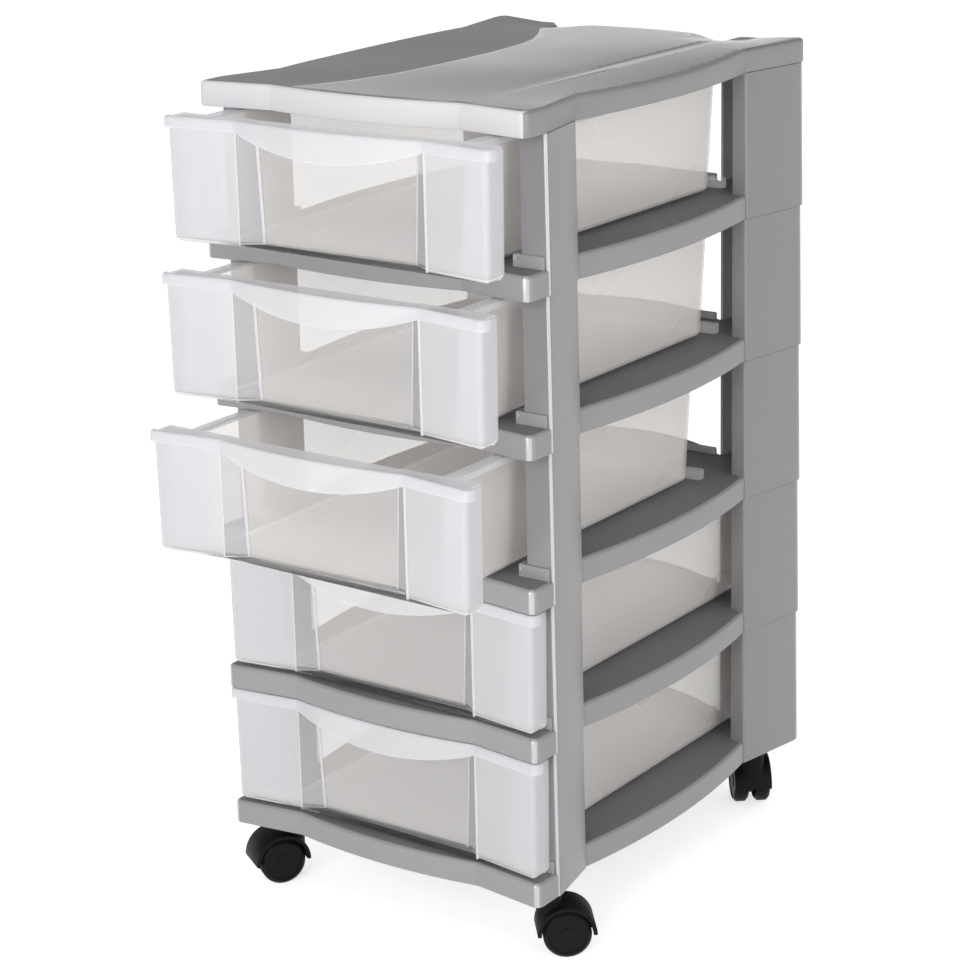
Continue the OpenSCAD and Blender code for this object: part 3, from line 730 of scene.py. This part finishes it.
def drawer_mesh():
    bm = bmesh.new()
    drawer_walls(bm)
    for face in bm.faces:
        face.material_index = wall_finish(face.calc_center_median())
    first = len(bm.faces)
    drawer_band(bm)
    drawer_ledge(bm)
    for side in SIDES.values():
        drawer_flange(bm, side)
    bm.faces.ensure_lookup_table()
    for face in bm.faces[first:]:
        c = face.calc_center_median()
        # the band's lower edge takes the painted highlight, the rest of the band, the ledge and the flanges
        # the rim frost
        highlit_low_edge = c.y < 10 and c.z < RIM_Z - apron_depth(c.x) + 1.3
        face.material_index = HIGHLIGHT if highlit_low_edge else RIM
    # of a recess's two painted highlight lines, the outer one is clearer on the right and the inner one on
    # the left
    first = len(bm.faces)
    for side in SIDES.values():
        x, y = side * CREASE_X, CREASE_Y + 1.7
        outer_r, inner_r = (HIGHLIGHT_R, FAINT_HIGHLIGHT_R) if side > 0 else (FAINT_HIGHLIGHT_R, HIGHLIGHT_R)
        highlight_line(bm, (x, y, LOW_Z + 1), (x, y, RIM_Z - BAND_H), outer_r)
        foot_x, head_x = side * (WINDOW_X + 0.3), side * (WINDOW_X + WINDOW_FLARE + 0.2)
        highlight_line(bm, (foot_x, WINDOW_Y, LOW_Z + 3), (head_x, WINDOW_Y, RIM_Z - 3), inner_r)
    bm.faces.ensure_lookup_table()
    for face in bm.faces[first:]:
        face.material_index = HIGHLIGHT
    # the runner under each side of the tray, and the stop lug at its back
    for side in SIDES.values():
        x = side * RUNNER_X
        runner_y, runner_z = (WINDOW_Y + 3, TRAY_BACK_Y - 9), (0.3, LOW_Z + 0.3)
        bar(bm, x - RUNNER_HALF_T, x + RUNNER_HALF_T, *runner_y, *runner_z, 0.4)
        first = len(bm.faces)
        lug_x = side * (TRAY_X - TRAY_DRAFT), side * (FLANGE_X - 1.5)
        bar(bm, *lug_x, TRAY_BACK_Y - 8, TRAY_BACK_Y - 0.5, LOW_Z + 4, LOW_Z + 12)
        bm.faces.ensure_lookup_table()
        for face in bm.faces[first:]:
            face.material_index = WINDOW
    return finished(bm, "drawer")


drawer = drawer_mesh()
frosts = [frost_tray, frost_block, frost_window, frost_rim, frost_painted_highlight, frost_recess_shade, frost_floor]
for k in range(1, LEVELS + 1):
    node = f"drawer_{k}"
    opened = FRONT_Y + corner_dip - box_mm(node)[0].y
    place = (0, -opened, level_z[k] + LIP_H)
    shell = piece(f"{node}_shell", drawer, frosts, node, node, place)
    shell.visible_shadow = False  # frosted plastic this thin lets nearly all light through

# ---- castors and buffers: CAD nodes with their edges broken ----


def softened(node, material, width):
    """Gives a CAD node its material and breaks its edges."""
    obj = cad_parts[node]
    for material_slot in obj.material_slots:
        material_slot.material = material
    weld = obj.modifiers.new("weld", "WELD")
    weld.merge_threshold = 0.01 * MM
    bevel = obj.modifiers.new("bevel", "BEVEL")
    bevel.width = width * MM
    bevel.segments = 2
    bevel.limit_method = "ANGLE"
    bevel.angle_limit = math.radians(40)


softened("closing_buffers", buffer_grey, 0.3)
castor_parts = [("hood", castor_black, 0.5), ("sleeve", castor_black, 0.3), ("stem", steel, 0.3)]
castor_parts += [("axle", steel, 0.3), ("inner_wheel", wheel_black, 0.5), ("outer_wheel", wheel_black, 0.5)]
for end in ENDS:
    for side_name in SIDES:
        for part, material, width in castor_parts:
            softened(f"{end}_{side_name}_castor_{part}", material, width)

# ---- camera, at the photograph's viewing angle ----

PHOTO_W, PHOTO_H = 970, 971
AZIMUTH, ELEVATION, ROLL = math.radians(35.60), math.radians(16.19), math.radians(-1.29)
FOCAL_PX = 2769.2
CENTRE_PX = (485, 427)
STATION = Vector((1231.66, -1566.63, 991.94))

camera_data = bpy.data.cameras.new("camera")
camera_data.sensor_width = 36
camera_data.lens = FOCAL_PX * camera_data.sensor_width / PHOTO_H
camera_data.shift_x = (PHOTO_W / 2 - CENTRE_PX[0]) / PHOTO_H
camera_data.shift_y = (CENTRE_PX[1] - PHOTO_H / 2) / PHOTO_H
camera_data.clip_end = 100
camera = bpy.data.objects.new("camera", camera_data)
bpy.context.scene.collection.objects.link(camera)
reach = math.cos(ELEVATION)
back = Vector((math.sin(AZIMUTH) * reach, -math.cos(AZIMUTH) * reach, math.sin(ELEVATION)))
right = (-back).cross(Vector((0, 0, 1))).normalized()
up = right.cross(-back)
across = right * math.cos(ROLL) + up * math.sin(ROLL)
upward = up * math.cos(ROLL) - right * math.sin(ROLL)
turned = Matrix((across, upward, back)).transposed().to_4x4()
camera.matrix_world = Matrix.Translation((STATION + Vector((0, FRONT_Y, 0))) * MM) @ turned
bpy.context.scene.camera = camera

# ---- floor, world and lamps ----

WHITE = (1, 1, 1, 1)
AMBIENT = 0.56  # strength of the world as a light
FADE_FROM, FADE_TO = 0.13, 0.24  # sines of the elevations between which the studio darkens
PALE, DARK = 0.88, 0.25  # its strength below and above them, as seen in gloss
FLOOR_GREY, FLOOR_GLOW = 0.8, 0.66
FLOOR_SIZE = 60

bpy.context.scene.view_settings.view_transform = "Standard"


def seen_white(tree, dim, white):
    """A shader that is dim for lighting, and white for rays from the camera, gloss and glass."""
    nodes, links = tree.nodes, tree.links
    path = nodes.new("ShaderNodeLightPath")
    seen = path.outputs["Is Camera Ray"]
    for kind in ("Is Glossy Ray", "Is Transmission Ray"):
        either = nodes.new("ShaderNodeMath")
        either.operation = "MAXIMUM"
        links.new(seen, either.inputs[0])
        links.new(path.outputs[kind], either.inputs[1])
        seen = either.outputs[0]
    mix = nodes.new("ShaderNodeMixShader")
    links.new(seen, mix.inputs["Fac"])
    links.new(dim, mix.inputs[1])
    links.new(white, mix.inputs[2])
    return mix.outputs[0]


world = bpy.data.worlds.new("studio")
world.use_nodes = True
tree = world.node_tree
tree.nodes.clear()
dim_sky = add(tree.nodes, "ShaderNodeBackground", Color=WHITE, Strength=AMBIENT)
white_sky = add(tree.nodes, "ShaderNodeBackground", Color=WHITE)
# The camera sees plain white. Gloss sees a studio that is pale up to a low height and darkens above it.
place = tree.nodes.new("ShaderNodeTexCoord")
height = tree.nodes.new("ShaderNodeSeparateXYZ")
tree.links.new(place.outputs["Generated"], height.inputs[0])
fade = add(tree.nodes, "ShaderNodeMapRange", From_Min=FADE_FROM, From_Max=FADE_TO, To_Min=PALE, To_Max=DARK)
tree.links.new(height.outputs["Z"], fade.inputs["Value"])
strength = add(tree.nodes, "ShaderNodeMapRange", To_Min=1.0)
tree.links.new(tree.nodes.new("ShaderNodeLightPath").outputs["Is Glossy Ray"], strength.inputs["Value"])
tree.links.new(fade.outputs["Result"], strength.inputs["To Max"])
tree.links.new(strength.outputs["Result"], white_sky.inputs["Strength"])
out = tree.nodes.new("ShaderNodeOutputWorld")
tree.links.new(seen_white(tree, dim_sky.outputs[0], white_sky.outputs[0]), out.inputs["Surface"])
bpy.context.scene.world = world

floor_material = bpy.data.materials.new("floor")
floor_material.use_nodes = True
tree = floor_material.node_tree
tree.nodes.clear()
matt = add(tree.nodes, "ShaderNodeBsdfDiffuse", Color=(FLOOR_GREY, FLOOR_GREY, FLOOR_GREY, 1))
glow = add(tree.nodes, "ShaderNodeEmission", Color=WHITE, Strength=FLOOR_GLOW)
both = tree.nodes.new("ShaderNodeAddShader")
tree.links.new(matt.outputs[0], both.inputs[0])
tree.links.new(glow.outputs[0], both.inputs[1])
out = tree.nodes.new("ShaderNodeOutputMaterial")
tree.links.new(seen_white(tree, matt.outputs[0], both.outputs[0]), out.inputs["Surface"])
bpy.ops.mesh.primitive_plane_add(size=FLOOR_SIZE)
floor = bpy.context.object
floor.name = "floor"
floor.data.materials.append(floor_material)


def softbox(name, place, aim, size, power):
    """A rectangular area lamp at place, facing aim, in metres and watts."""
    data = bpy.data.lights.new(name, "AREA")
    data.shape = "RECTANGLE"
    data.size, data.size_y = size
    data.energy = power
    lamp = bpy.data.objects.new(name, data)
    bpy.context.scene.collection.objects.link(lamp)
    lamp.location = place
    lamp.rotation_euler = (Vector(aim) - Vector(place)).to_track_quat("-Z", "Y").to_euler()


softbox("key", (0.35, -1.95, 0.92), (0, 0, 0.5), (1.0, 1.0), 19.5)
softbox("fill", (2.4, -0.6, 0.9), (0, 0, 0.35), (1.2, 1.6), 12.5)
